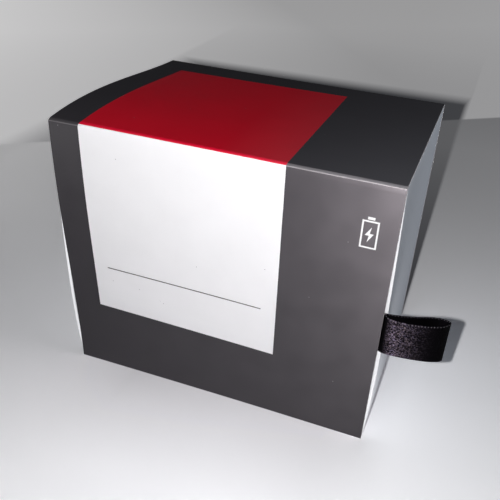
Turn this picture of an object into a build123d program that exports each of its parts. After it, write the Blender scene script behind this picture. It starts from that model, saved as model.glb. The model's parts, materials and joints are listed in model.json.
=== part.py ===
from build123d import *

import os
from math import cos, radians, sin

# Boxed two-well hearing aid charger. A printed card sleeve, open at its left and right
# ends, holds a card drawer tray with a ribbon pull. The tray opens towards the sleeve's
# front panel, and the charger lies in it on a foam insert, its lid facing the front.
# Sizes are in millimetres. X runs along the front to the right, Y into the box and Z up.
# The origin is the centre of the sleeve's bottom face.

# Sleeve
sleeve_length = 120.0
sleeve_depth = 86.0
sleeve_height = 103.0
sleeve_board = 0.6
glue_flap_width = 14.0
glue_flap_taper = 8.0

# How the sleeve's front and top panels spring outwards at its left end
flexed_length = 84.0
flex_steps = 6
flex_fade_power = 1.5
corner_lean = 3.4
corner_lift = 1.0
front_bow = 0.9
top_crown = 4.2

# Tray, with its open side towards the front panel
tray_board = 1.2
tray_gap = 0.3
tray_front_gap = 1.2
left_rim_bow = 4.4
right_rim_bow = 1.1

# Ribbon pull
ribbon_width = 15.6
ribbon_thickness = 0.25
ribbon_height = 49.5
ribbon_reach = 20.0
ribbon_loop_depth = 5.4
ribbon_front_bow = 1.2
ribbon_bend_radius = 0.6
ribbon_glued_length = 18.0
ribbon_wall_gap = 0.3

# Foam insert
insert_thickness = 20.0
insert_floor = 1.0
insert_side_gap = 0.3
insert_edge = 8.0
pocket_gap = 0.3
finger_notch_radius = 10.0
accessory_length = 100.0
accessory_width = 24.0
accessory_radius = 6.0
accessory_spacing = 6.0

# Charger housing
charger_length = 90.0
charger_width = 54.0
corner_radius = 16.0
base_height = 24.0
base_wall = 2.0
base_floor = 2.0
base_edge_chamfer = 2.0
lid_height = 11.0
lid_wall = 2.0
lid_edge_radius = 4.0
lid_edge_steps = 3
lid_gap = 0.3
lid_scoop_radius = 14.0
lid_scoop_depth = 1.0
fit_gap = 0.15

# Hinge
knuckle_radius = 2.2
knuckle_gap = 0.3
base_knuckle_length = 10.0
lid_knuckle_length = 27.4
hinge_pin_radius = 1.0
hinge_pin_clearance = 0.05

# Deck and charging wells
deck_thickness = 2.0
deck_drop = 1.0
well_spacing = 44.0
well_offset = 1.0
well_length = 32.0
well_width = 14.0
well_depth = 9.0
well_wall = 1.2
channel_length = 18.0
channel_width = 8.0
channel_depth = 4.5
channel_angle = 18.0
channel_offset_x = 9.0
channel_offset_y = 14.5
liner_thickness = 1.2
liner_gap = 0.3
liner_groove_radius = 9.0
liner_groove_depth = 0.7

# Coils and ferrites under the wells
coil_radius = 7.8
coil_hole_radius = 3.5
coil_thickness = 1.2
ferrite_radius = 8.0
ferrite_thickness = 0.8
lead_radius = 0.35
lead_spacing = 1.6
lead_offset = 7.0
lead_notch_width = 3.0

# Main board
board_length = 60.0
board_thickness = 1.2
board_height = 5.0
board_front_gap = 0.6
board_rear_gap = 2.0
standoff_radius = 2.2
standoff_spacing_x = 54.0
standoff_front = -20.0
standoff_rear = 14.0
board_screw_radius = 0.8
board_screw_head_radius = 1.5
board_screw_head_height = 1.0
board_screw_length = 3.5
screw_clearance = 0.1
chip_height = 0.9
controller_side = 7.0
controller_offset = 2.0
driver_side = 4.0
driver_offset = 5.0
inductor_side = 5.0
inductor_height = 1.8
inductor_offset = -5.0
power_spacing = 22.0

# USB-C socket
usb_width = 8.94
usb_height = 3.2
usb_length = 7.8
usb_wall = 0.3
usb_tongue_width = 6.7
usb_tongue_height = 0.7
usb_gap = 0.3
usb_setback = 0.6
usb_recess_width = 12.6
usb_recess_height = 7.0
usb_recess_depth = 0.8

# Status lights
light_spacing = 18.0
light_window_width = 5.0
light_window_height = 1.8
light_window_gap = 0.1
light_bar_depth = 2.0
light_leg_width = 3.0
led_width = 3.0
led_depth = 2.0
led_height = 1.5
led_gap = 0.2

# Push button and its switch
button_offset = -15.0
button_radius = 4.0
button_edge_chamfer = 0.4
button_gap = 0.15
button_proud = 0.8
button_flange_radius = 5.0
button_flange_thickness = 0.9
button_flange_gap = 0.1
button_stem_radius = 1.8
switch_side = 6.0
switch_height = 3.0
plunger_radius = 1.5
plunger_gap = 0.1
plunger_length = 2.0
plunger_proud = 0.7
plunger_well = 2.0

# Magnets, feet and housing screws
magnet_radius = 2.0
magnet_height = 2.0
magnet_spacing = 56.0
magnet_wall_gap = 1.5
foot_radius = 4.0
foot_gap = 0.1
foot_recess = 0.8
foot_proud = 0.8
foot_spacing_x = 68.0
foot_spacing_y = 30.0
boss_radius = 3.5
boss_height = 2.0
post_radius = 2.75
post_bore_depth = 6.0
screw_radius = 1.0
screw_head_radius = 1.9
screw_head_height = 1.1
screw_length = 7.5

# Lid lining
lid_liner_thickness = 1.5
lid_liner_height = 1.7
cushion_length = 26.0
cushion_width = 9.0
cushion_thickness = 1.2

# Small round posts, screws and holes, and the coils, are drawn with few sides
post_sides = 12
coil_sides = 24

# Places worked out from the sizes above
overcut = 1.0
half_length = sleeve_length / 2
half_depth = sleeve_depth / 2
sleeve_back_inside = half_depth - sleeve_board
tray_front = -half_depth + sleeve_board + tray_front_gap
tray_back = sleeve_back_inside - sleeve_board - tray_gap
tray_bottom = sleeve_board + tray_gap
tray_top = sleeve_height - sleeve_board - tray_gap
tray_floor = tray_back - tray_board
ribbon_line = -half_depth + sleeve_board + tray_front_gap / 2
insert_half_length = half_length - tray_board - insert_side_gap
insert_bottom = tray_bottom + tray_board + insert_side_gap
insert_top = tray_top - tray_board - insert_side_gap
charger_bottom = tray_floor - insert_floor - foot_proud
charger_centre = insert_bottom + insert_edge + pocket_gap + charger_width / 2
charger_place = Location((0, charger_bottom, charger_centre), (90, 0, 0))
half_width = charger_width / 2
inner_length = charger_length - 2 * base_wall
inner_width = charger_width - 2 * base_wall
inner_radius = corner_radius - base_wall
hinge_height = base_height + lid_gap / 2
lid_bottom = base_height + lid_gap
lid_inner_top = lid_bottom + lid_height - lid_wall
deck_top = base_height - deck_drop
deck_bottom = deck_top - deck_thickness
well_floor = deck_top - well_depth
coil_top = well_floor - well_wall
ferrite_top = coil_top - coil_thickness
board_top = board_height + board_thickness
board_front = -inner_width / 2 + board_front_gap
board_rear = inner_width / 2 - board_rear_gap
boss_top = base_floor + boss_height
usb_centre = board_top + usb_height / 2
magnet_y = -inner_width / 2 + magnet_wall_gap + magnet_radius
light_height = deck_bottom - light_window_height / 2
lid_liner_bottom = lid_bottom + lid_liner_height
sides = (-1, 1)
corners = [(x, y) for x in sides for y in sides]
seated = (Align.CENTER, Align.CENTER, Align.MIN)


def upright(sketch, low, high):
    """A sketch raised from the height low to the height high."""
    return extrude(Pos(0, 0, low) * sketch, high - low, dir=(0, 0, 1))


def rounded_block(length, width, radius, low, high):
    """An upright block with rounded corners."""
    return upright(RectangleRounded(length, width, radius), low, high)


def crowned_block(length, width, radius, edge, low, high):
    """A rounded block whose top edge is rounded off in a few slopes."""
    sections = [Pos(0, 0, low) * RectangleRounded(length, width, radius)]
    for step in range(lid_edge_steps + 1):
        turn = radians(90 * step / lid_edge_steps)
        inset = edge * (1 - cos(turn))
        outline = RectangleRounded(length - 2 * inset, width - 2 * inset, radius - inset)
        sections.append(Pos(0, 0, high - edge * (1 - sin(turn))) * outline)
    return loft(sections, ruled=True)


def post(x, y, radius, low, high):
    """An upright post or hole, round but for its few sides."""
    return upright(Pos(x, y) * RegularPolygon(radius, post_sides), low, high)


def bar(radius, length, y, z, x=0):
    """A round bar along X, centred on x."""
    return Pos(x, y, z) * Rot(0, 90, 0) * Cylinder(radius, length)


def group(pieces):
    """Separate solids that share one node."""
    return Compound([piece.solid() for piece in pieces])


def bowed_edge(start, end, rise):
    """An edge from start to end, sprung out at its middle by rise, a two-way offset."""
    if rise == (0, 0):
        return Line(start, end)
    middle = ((start[0] + end[0]) / 2 + rise[0], (start[1] + end[1]) / 2 + rise[1])
    return ThreePointArc(start, middle, end)


def flex_at(x):
    """How far the sleeve is sprung out at x, from 1 at its left end to 0."""
    left = max(0.0, 1 - (x + half_length) / flexed_length)
    return left**flex_fade_power


def sleeve_section(x, flex, inset):
    """The sleeve's cross-section at x, drawn inwards by inset."""
    front, back = -half_depth + inset, half_depth - inset
    bottom, top = inset, sleeve_height - inset
    front_top = (front - corner_lean * flex, top + corner_lift * flex)
    top_rise = (0, top_crown * flex)
    front_rise = (-front_bow * flex, 0)
    outline = [
        Line((front, bottom), (back, bottom)),
        Line((back, bottom), (back, top)),
        bowed_edge((back, top), front_top, top_rise),
        bowed_edge(front_top, (front, bottom), front_rise),
    ]
    across = Plane(origin=(x, 0, 0), x_dir=(0, 1, 0), z_dir=(1, 0, 0))
    return across * make_face(outline)


def sleeve():
    """One sheet of card, folded round and closed by a flap glued inside the back."""
    step = flexed_length / flex_steps
    stations = [-half_length + step * i for i in range(flex_steps)]
    stations += [-half_length + flexed_length, half_length]
    outside = loft([sleeve_section(x, flex_at(x), 0) for x in stations], ruled=True)
    reach = {stations[0]: -overcut, stations[-1]: overcut}
    inside = loft(
        [
            sleeve_section(x + reach.get(x, 0), flex_at(x), sleeve_board)
            for x in stations
        ],
        ruled=True,
    )
    flap = Polyline(
        (-half_length, sleeve_board),
        (half_length, sleeve_board),
        (half_length - glue_flap_taper, glue_flap_width),
        (-half_length + glue_flap_taper, glue_flap_width),
        close=True,
    )
    flap_plane = Plane(origin=(0, sleeve_back_inside, 0), x_dir=(1, 0, 0), z_dir=(0, -1, 0))
    flap_sheet = extrude(flap_plane * make_face(flap), sleeve_board, dir=(0, -1, 0))
    return outside - inside + flap_sheet


def tray_section(y, inset):
    """The tray's outline at the depth y, its end walls bowed out most at the rim."""
    share = (tray_back - y) / (tray_back - tray_front)
    left, right = -half_length + inset, half_length - inset
    bottom, top = tray_bottom + inset, tray_top - inset
    outline = [
        Line((left, bottom), (right, bottom)),
        bowed_edge((right, bottom), (right, top), (right_rim_bow * share, 0)),
        Line((right, top), (left, top)),
        bowed_edge((left, top), (left, bottom), (-left_rim_bow * share, 0)),
    ]
    along = Plane(origin=(0, y, 0), x_dir=(1, 0, 0), z_dir=(0, -1, 0))
    return along * make_face(outline)


def tray():
    """The drawer: four card walls round a card floor."""
    outside = loft([tray_section(tray_front, 0), tray_section(tray_back, 0)], ruled=True)
    inside = loft(
        [
            tray_section(tray_front - overcut, tray_board),
            tray_section(tray_floor, tray_board),
        ],
        ruled=True,
    )
    return outside - inside


def ribbon_pull():
    """A flat ribbon folded into a loop, its two ends glued inside the tray's right wall."""
    band = 2 * ribbon_thickness
    glued_x = half_length - tray_board - ribbon_wall_gap - band / 2 + right_rim_bow / 2
    rim_x = half_length + right_rim_bow + 2 * band
    tail = FilletPolyline(
        (rim_x, ribbon_line),
        (glued_x, ribbon_line),
        (glued_x, ribbon_line + ribbon_glued_length),
        radius=ribbon_bend_radius,
    )
    tip = rim_x - band / 2
    end = half_length + ribbon_reach
    turn = end - ribbon_loop_depth
    far_side = ribbon_line + ribbon_loop_depth
    front_start = (tip, ribbon_line - ribbon_thickness / 2)
    front_middle = ((tip + turn) / 2, ribbon_line - ribbon_front_bow)
    front = ThreePointArc(front_start, front_middle, (turn, ribbon_line))
    nose = TangentArc(front @ 1, (end, ribbon_line + 0.6 * ribbon_loop_depth), tangent=front % 1)
    heel = TangentArc(nose @ 1, (turn + ribbon_loop_depth / 3, far_side), tangent=nose % 1)
    back_end = (tip, ribbon_line + ribbon_thickness / 2)
    halfway = ((tip + turn) / 2, ribbon_line + ribbon_loop_depth / 2)
    back = TangentArc(heel @ 1, halfway, tangent=heel % 1)
    close = TangentArc(back @ 1, back_end, tangent=back % 1)
    loop = trace([front, nose, heel, back, close], ribbon_thickness)
    outline = trace(tail, band) + loop
    low = ribbon_height - ribbon_width / 2
    return upright(outline, low, low + ribbon_width)


def insert():
    """Foam block with a pocket for the charger and one for accessories."""
    low = -(foot_proud + insert_floor)
    high = low + insert_thickness
    bottom, top = insert_bottom - charger_centre, insert_top - charger_centre
    block = Pos(0, (bottom + top) / 2) * Rectangle(2 * insert_half_length, top - bottom)
    pocket = RectangleRounded(
        charger_length + 2 * pocket_gap,
        charger_width + 2 * pocket_gap,
        corner_radius + pocket_gap,
    )
    notches = [Pos(side * charger_length / 2, 0) * Circle(finger_notch_radius) for side in sides]
    accessory_y = half_width + pocket_gap + accessory_spacing + accessory_width / 2
    accessory = Pos(0, accessory_y) * RectangleRounded(
        accessory_length, accessory_width, accessory_radius
    )
    body = upright(block, low, high)
    return body - upright(pocket + notches + accessory, -foot_proud, high + overcut)


def board_points():
    """Where the board stands on the base, seen from above."""
    ends = (standoff_front, standoff_rear)
    return [(side * standoff_spacing_x / 2, y) for side in sides for y in ends]


def foot_points():
    """Where the feet, housing screws and deck posts stand, seen from above."""
    return [(x * foot_spacing_x / 2, y * foot_spacing_y / 2) for x, y in corners]


def light_points():
    """Where the status lights stand along the front."""
    return [i * light_spacing for i in (-1, 0, 1)]


def knuckle_points():
    """Where the two base knuckles are centred along the hinge."""
    offset = lid_knuckle_length / 2 + knuckle_gap + base_knuckle_length / 2
    return [side * offset for side in sides]


def base_shell():
    """The charger's lower housing."""
    body = rounded_block(charger_length, charger_width, corner_radius, 0, base_height)
    body = chamfer(body.faces().sort_by(Axis.Z)[0].edges(), base_edge_chamfer)
    body -= rounded_block(
        inner_length, inner_width, inner_radius, base_floor, base_height + overcut
    )
    for x, y in foot_points():
        body += post(x, y, boss_radius, base_floor, boss_top)
        body -= post(x, y, foot_radius + foot_gap, -overcut, foot_recess)
        body -= post(x, y, screw_head_radius + foot_gap, 0, base_floor)
        body -= post(x, y, screw_radius + screw_clearance, 0, boss_top + overcut)
    for x, y in board_points():
        body += post(x, y, standoff_radius, base_floor, board_height)
        bore_low = board_top - board_screw_length - screw_clearance
        body -= post(x, y, board_screw_radius + screw_clearance, bore_low, board_top)
    for x in knuckle_points():
        body += bar(knuckle_radius, base_knuckle_length, half_width, hinge_height, x)
    body -= bar(
        knuckle_radius + knuckle_gap,
        lid_knuckle_length + 2 * knuckle_gap,
        half_width,
        hinge_height,
    )
    body -= bar(
        hinge_pin_radius + hinge_pin_clearance, charger_length, half_width, hinge_height
    )
    window = Box(light_window_width, 2 * base_wall + overcut, light_window_height)
    for x in light_points():
        body -= Pos(x, -half_width, light_height) * window
    facing_rear = Plane(origin=(0, half_width, usb_centre), x_dir=(1, 0, 0), z_dir=(0, 1, 0))
    opening = SlotOverall(usb_width + 2 * usb_gap, usb_height + 2 * usb_gap)
    recess = SlotOverall(usb_recess_width, usb_recess_height)
    body -= extrude(facing_rear * opening, 2 * base_wall, both=True)
    body -= extrude(facing_rear * recess, usb_recess_depth, both=True)
    return body


def well_outline(side, margin):
    """A well seen from above, grown by margin."""
    return Pos(side * well_spacing / 2, well_offset) * SlotOverall(
        well_length + 2 * margin, well_width + 2 * margin, rotation=90
    )


def channel_outline(side, margin):
    """The channel for a hearing aid's wire and dome, seen from above, grown by margin."""
    x = side * (well_spacing / 2 - channel_offset_x)
    return Pos(x, well_offset + channel_offset_y) * SlotOverall(
        channel_length + 2 * margin, channel_width + 2 * margin, rotation=-side * channel_angle
    )


def deck():
    """The base's top plate, with the two wells hanging from it and four screw posts."""
    body = rounded_block(
        inner_length - 2 * fit_gap,
        inner_width - 2 * fit_gap,
        inner_radius - fit_gap,
        deck_bottom,
        deck_top,
    )
    channel_floor = deck_top - channel_depth
    for side in sides:
        body += upright(well_outline(side, well_wall), coil_top, deck_bottom)
        body += upright(channel_outline(side, well_wall), channel_floor - well_wall, deck_bottom)
    for side in sides:
        body -= upright(well_outline(side, 0), well_floor, base_height)
        body -= upright(channel_outline(side, 0), channel_floor, base_height)
    for x, y in foot_points():
        body += post(x, y, post_radius, boss_top, deck_bottom)
        body -= post(x, y, screw_radius + screw_clearance, 0, boss_top + post_bore_depth)
    button_hole = Pos(0, button_offset) * Circle(button_radius + button_gap)
    return body - upright(button_hole, deck_bottom, base_height)


def well_liner(side):
    """A soft pad in the bottom of a well, grooved to cradle a hearing aid."""
    top = well_floor + liner_thickness
    pad = upright(well_outline(side, -liner_gap), well_floor, top)
    groove_axis = Location(
        (side * well_spacing / 2, 0, top + liner_groove_radius - liner_groove_depth), (90, 0, 0)
    )
    return pad - groove_axis * Cylinder(liner_groove_radius, 2 * charger_width)


def charging_coil(side):
    """A flat wound coil glued under a well."""
    ring = Pos(side * well_spacing / 2, well_offset) * (
        RegularPolygon(coil_radius, coil_sides) - RegularPolygon(coil_hole_radius, coil_sides)
    )
    return upright(ring, ferrite_top, coil_top)


def ferrite(side):
    """The ferrite disc that backs a coil, notched for the coil's leads."""
    notch = Pos(0, lead_offset + lead_notch_width / 2) * Rectangle(
        lead_notch_width, lead_offset
    )
    disc = RegularPolygon(ferrite_radius, coil_sides) - notch
    disc = Pos(side * well_spacing / 2, well_offset) * disc
    return upright(disc, ferrite_top - ferrite_thickness, ferrite_top)


def coil_leads():
    """Two leads from each coil down to the board."""
    leads = [
        post(
            wells * well_spacing / 2 + lead * lead_spacing / 2,
            well_offset + lead_offset,
            lead_radius,
            board_top,
            ferrite_top,
        )
        for wells in sides
        for lead in sides
    ]
    return group(leads)


def main_board():
    """The charger's circuit board, on the base's four standoffs."""
    outline = Pos(0, (board_front + board_rear) / 2) * Rectangle(
        board_length, board_rear - board_front
    )
    board = upright(outline, board_height, board_top)
    for x, y in board_points():
        board -= post(x, y, board_screw_radius + screw_clearance, 0, base_height)
    return board


def board_screws():
    """Screws that hold the board to its standoffs."""
    head_top = board_top + board_screw_head_height
    return group(
        post(x, y, board_screw_head_radius, board_top, head_top)
        + post(x, y, board_screw_radius, board_top - board_screw_length, board_top)
        for x, y in board_points()
    )


def board_chips():
    """The controller, the two coil drivers and their inductors."""
    def chip(x, y, side, height):
        return Pos(x, y, board_top) * Box(side, side, height, align=seated)

    chips = [chip(0, controller_offset, controller_side, chip_height)]
    for side in sides:
        x = side * power_spacing / 2
        chips.append(chip(x, driver_offset, driver_side, chip_height))
        chips.append(chip(x, inductor_offset, inductor_side, inductor_height))
    return group(chips)


def usb_c_socket():
    """The power inlet, on the board's rear edge."""
    front = half_width - usb_setback - usb_length
    facing = Plane(origin=(0, front, usb_centre), x_dir=(1, 0, 0), z_dir=(0, -1, 0))
    round_side = usb_height / 2 - usb_wall
    outside = RectangleRounded(usb_width, usb_height, usb_height / 2 - usb_wall / 2)
    inside = RectangleRounded(
        usb_width - 2 * usb_wall, usb_height - 2 * usb_wall, round_side - usb_wall / 2
    )
    can = extrude(facing * outside, usb_length, dir=(0, 1, 0))
    can -= Pos(0, usb_wall, 0) * extrude(facing * inside, usb_length, dir=(0, 1, 0))
    tongue = Rectangle(usb_tongue_width, usb_tongue_height)
    return can + extrude(facing * tongue, usb_length - usb_setback, dir=(0, 1, 0))


def status_leds():
    """Three surface lamps on the board, one under each leg of the light guide."""
    middle = -inner_width / 2 + light_bar_depth / 2 + board_front_gap
    return group(
        Pos(x, middle, board_top) * Box(led_width, led_depth, led_height, align=seated)
        for x in light_points()
    )


def light_guide():
    """One clear piece: a bar, three legs down to the lamps and three windows."""
    outer = -half_width
    inner_face = -inner_width / 2 + light_window_gap
    rear = inner_face + light_bar_depth
    high = light_height + light_window_height / 2 - light_window_gap
    low = high - light_window_height + 2 * light_window_gap
    window_width = light_window_width - 2 * light_window_gap
    length = 2 * light_spacing + window_width
    guide = Pos(0, (inner_face + rear) / 2, low) * Box(
        length, light_bar_depth, high - low, align=seated
    )
    leg_low = board_top + led_height + led_gap
    for x in light_points():
        guide += Pos(x, (outer + inner_face) / 2, low) * Box(
            window_width, inner_face - outer, high - low, align=seated
        )
        guide += Pos(x, (inner_face + rear) / 2, leg_low) * Box(
            light_leg_width, light_bar_depth, low - leg_low, align=seated
        )
    return guide


def switch_body():
    """The tactile switch under the button, with the well its plunger sinks into."""
    body = Pos(0, button_offset, board_top) * Box(
        switch_side, switch_side, switch_height, align=seated
    )
    top = board_top + switch_height
    return body - post(0, button_offset, plunger_radius + plunger_gap, top - plunger_well, top)


def switch_plunger():
    """The switch's plunger, which the button's stem rests on."""
    top = board_top + switch_height + plunger_proud
    return post(0, button_offset, plunger_radius, top - plunger_length, top)


def button_cap():
    """The push button: a cap through the deck, a flange that keeps it in, and a stem."""
    flange_top = deck_bottom - button_flange_gap
    flange_low = flange_top - button_flange_thickness
    stem_low = board_top + switch_height + plunger_proud
    outline = Pos(0, button_offset) * Circle(button_radius)
    cap = upright(outline, flange_top, deck_top + button_proud)
    cap = chamfer(cap.faces().sort_by(Axis.Z)[-1].edges(), button_edge_chamfer)
    cap += post(0, button_offset, button_flange_radius, flange_low, flange_top)
    return cap + post(0, button_offset, button_stem_radius, stem_low, flange_low)


def magnets(low):
    """A pair of closing magnets standing on the height low."""
    return group(
        post(side * magnet_spacing / 2, magnet_y, magnet_radius, low, low + magnet_height)
        for side in sides
    )


def housing_screws():
    """Screws from under the feet, through the base, into the deck's posts."""
    return group(
        post(x, y, screw_head_radius, base_floor - screw_head_height, base_floor)
        + post(x, y, screw_radius, base_floor, base_floor + screw_length)
        for x, y in foot_points()
    )


def rubber_feet():
    """Four feet, glued into recesses under the base."""
    return group(post(x, y, foot_radius, -foot_proud, foot_recess) for x, y in foot_points())


def hinge_pin():
    """The steel pin through the lid's knuckle and the two base knuckles."""
    length = lid_knuckle_length + 2 * (knuckle_gap + base_knuckle_length)
    return bar(hinge_pin_radius, length, half_width, hinge_height)


def lid_shell():
    """The hinged lid, with a finger scoop at its front edge."""
    body = crowned_block(
        charger_length,
        charger_width,
        corner_radius,
        lid_edge_radius,
        lid_bottom,
        lid_bottom + lid_height,
    )
    body -= rounded_block(
        charger_length - 2 * lid_wall,
        charger_width - 2 * lid_wall,
        corner_radius - lid_wall,
        lid_bottom - overcut,
        lid_inner_top,
    )
    scoop = Pos(0, -half_width - lid_scoop_radius + lid_scoop_depth, lid_bottom)
    body -= scoop * Cylinder(lid_scoop_radius, lid_height, align=seated)
    for x in knuckle_points():
        body -= bar(
            knuckle_radius + knuckle_gap,
            base_knuckle_length + 2 * knuckle_gap,
            half_width,
            hinge_height,
            x,
        )
    body += bar(knuckle_radius, lid_knuckle_length, half_width, hinge_height)
    return body - bar(
        hinge_pin_radius + hinge_pin_clearance, charger_length, half_width, hinge_height
    )


def lid_liner():
    """The plate that closes the lid's underside."""
    margin = lid_wall + fit_gap
    return rounded_block(
        charger_length - 2 * margin,
        charger_width - 2 * margin,
        corner_radius - margin,
        lid_liner_bottom,
        lid_liner_bottom + lid_liner_thickness,
    )


def lid_cushion(side):
    """A soft pad that holds a hearing aid down in its well."""
    outline = Pos(side * well_spacing / 2, well_offset) * SlotOverall(
        cushion_length, cushion_width, rotation=90
    )
    return upright(outline, lid_liner_bottom - cushion_thickness, lid_liner_bottom)


def charger_pieces():
    """The charger's pieces as it stands on its feet, X right, Y to its hinge and Z up."""
    pieces = {
        "insert": insert(),
        "base_shell": base_shell(),
        "deck": deck(),
        "coil_leads": coil_leads(),
        "main_board": main_board(),
        "board_screws": board_screws(),
        "board_chips": board_chips(),
        "usb_c_socket": usb_c_socket(),
        "status_leds": status_leds(),
        "light_guide": light_guide(),
        "switch_body": switch_body(),
        "switch_plunger": switch_plunger(),
        "button_cap": button_cap(),
        "base_magnets": magnets(deck_bottom - magnet_height),
        "housing_screws": housing_screws(),
        "rubber_feet": rubber_feet(),
        "hinge_pin": hinge_pin(),
        "lid_shell": lid_shell(),
        "lid_liner": lid_liner(),
        "lid_magnets": magnets(lid_liner_bottom + lid_liner_thickness),
    }
    for side, name in zip(sides, ("left", "right")):
        pieces["well_liner_" + name] = well_liner(side)
        pieces["charging_coil_" + name] = charging_coil(side)
        pieces["ferrite_" + name] = ferrite(side)
        pieces["lid_cushion_" + name] = lid_cushion(side)
    return pieces


def all_pieces():
    """Every piece by name, at its place in the closed box."""
    pieces = {"sleeve": sleeve(), "tray": tray(), "ribbon_pull": ribbon_pull()}
    for name, piece in charger_pieces().items():
        pieces[name] = charger_place * piece
    return pieces


os.makedirs("parts", exist_ok=True)
for name, piece in all_pieces().items():
    export_step(piece, f"parts/{name}.step")
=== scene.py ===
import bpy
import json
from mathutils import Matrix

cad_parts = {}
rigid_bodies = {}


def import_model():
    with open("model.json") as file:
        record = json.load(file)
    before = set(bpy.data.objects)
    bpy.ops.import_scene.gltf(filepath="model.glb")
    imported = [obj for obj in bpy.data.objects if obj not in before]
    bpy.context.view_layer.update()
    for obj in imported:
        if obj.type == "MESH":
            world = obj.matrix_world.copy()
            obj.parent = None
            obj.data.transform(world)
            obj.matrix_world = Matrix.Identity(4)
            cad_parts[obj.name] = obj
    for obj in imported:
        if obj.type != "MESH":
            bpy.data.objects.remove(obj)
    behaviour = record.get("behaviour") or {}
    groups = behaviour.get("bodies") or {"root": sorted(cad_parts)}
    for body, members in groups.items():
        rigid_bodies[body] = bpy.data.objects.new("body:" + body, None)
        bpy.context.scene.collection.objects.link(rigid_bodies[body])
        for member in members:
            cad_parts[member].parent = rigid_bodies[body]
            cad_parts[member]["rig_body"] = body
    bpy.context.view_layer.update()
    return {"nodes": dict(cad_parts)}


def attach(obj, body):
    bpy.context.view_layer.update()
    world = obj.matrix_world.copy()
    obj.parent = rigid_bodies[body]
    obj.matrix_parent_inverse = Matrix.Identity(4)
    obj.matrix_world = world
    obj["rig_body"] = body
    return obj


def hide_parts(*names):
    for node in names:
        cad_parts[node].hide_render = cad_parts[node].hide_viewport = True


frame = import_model()

import json
from math import cos, pi, radians, sin

import bmesh
import bpy
from mathutils import Matrix, Vector
from mathutils.geometry import interpolate_bezier

# The finished look of a boxed hearing aid charger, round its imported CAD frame. Sizes are
# in millimetres, and mm turns them into the scene's metres. X runs along the front to the
# right, Y into the box and Z up. The origin is the centre of the sleeve's bottom face.
mm = 0.001

# Camera
camera_place = (76.4, -215.3, 180.2)
camera_turn = (57.95, -2.85, 20.83)
camera_lens = 46.0
camera_sensor = 36.0
camera_shift = (-0.0229, 0.0244)

# Lights. Powers are in watts
lamp_place = (63, -218, 178)
lamp_target = (0, -20, 50)
lamp_size = 4
lamp_power = 0.43
# A card's place, size, power and colour
cards = (
    ((172, -270, 62), (190, 96), 10.8, "#fff3fb"),
    ((-215, -270, 20), (160, 60), 0.1, "#ffffff"),
)
card_target = (0, -43, 52)
# A bounce's place, target and power
bounces = (
    ((85, -55, 6), (60, -38, 22), 0.008),
    ((-70, -240, 40), (-62, -41, 45), 0.16),
)
bounce_size = 24
# A fill's name, place, power and colour
fills = (
    ("window", (-120, -130, 330), 0.15, "#ffffff"),
    ("back_fill", (-150, 190, 60), 0.42, "#ffffff"),
    ("side_fill", (280, 90, 130), 0.15, "#e4effc"),
)
fill_target = (0, 10, 50)
fill_size = 160
sky_strength = 0.04

# Table top: its reach each way, and the painted light that the camera sees at its left and right
table_reach = 4000
table_left = (1.06, 1.06, 1.09, 1)
table_right = (1.5, 1.5, 1.54, 1)

# Backdrop, painted on the table top past a slanted line: the line's angle, its distance
# from the origin and how soft it is, and how the shadow band at its foot slants
backdrop_angle = radians(36.7)
backdrop_line = 245
backdrop_softness = 3
band_slant = -0.03

# Sleeve, and how its front and top panels spring outwards at the left end: the front
# leans and bows, the top lifts and crowns, and it all fades out over the flexed length
half_length = 60.0
half_depth = 43.0
sleeve_height = 103.0
sleeve_board = 0.6
fold_radius = 0.4
flexed_length = 84.0
fade_power = 1.5
lean = 3.15
front_bow = 0.9
lift = 1.0
crown = 2.35
heel = 0.45
toe = 1.0
reach = 0.5
reach_rise = 1.4
pull = 0.35
crease_width = 1.3
crease_drop = 0.32
crease_edge = 0.3
cut_band = 0.6
flat_band = 2.0

# Print on the sleeve, from its left end and its bottom edge. The red starts a gap past
# the front fold, and a painted highlight brightens its ink along there
panel_left = 11.05
panel_right = 83.0
panel_low = 28.97
red_depth = 73.66
front_askew = 0.0185
top_askew = -0.033
side_askew = 0.0045
fold_askew = 0.009
askew_about = 43.0
red_gap = 0.36
red_highlight_band = 1.8
red_highlight_fade = 0.8
rule_left = 16.8
rule_right = 77.6
rule_height = 47.73
rule_thickness = 0.42
battery_centre = (51.2, 85.4)
battery_size = (5.4, 9.6)
battery_line = 0.55
battery_cap = (2.2, 0.9)
battery_cap_gap = 0.35
ink_thickness = 0.02

# Tray
tray_low = (-60.0, -41.2, 0.9)
tray_high = (60.0, 41.5, 102.1)
tray_board = 1.2
tray_fold = 0.8
tray_rim = 0.45
tray_cuts = (-57.5, 57.5)
left_bow = 4.4
left_bow_fullness = 0.35
right_bow = 1.2
right_bow_fullness = 1.3
right_bow_sag = 0.75

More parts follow.
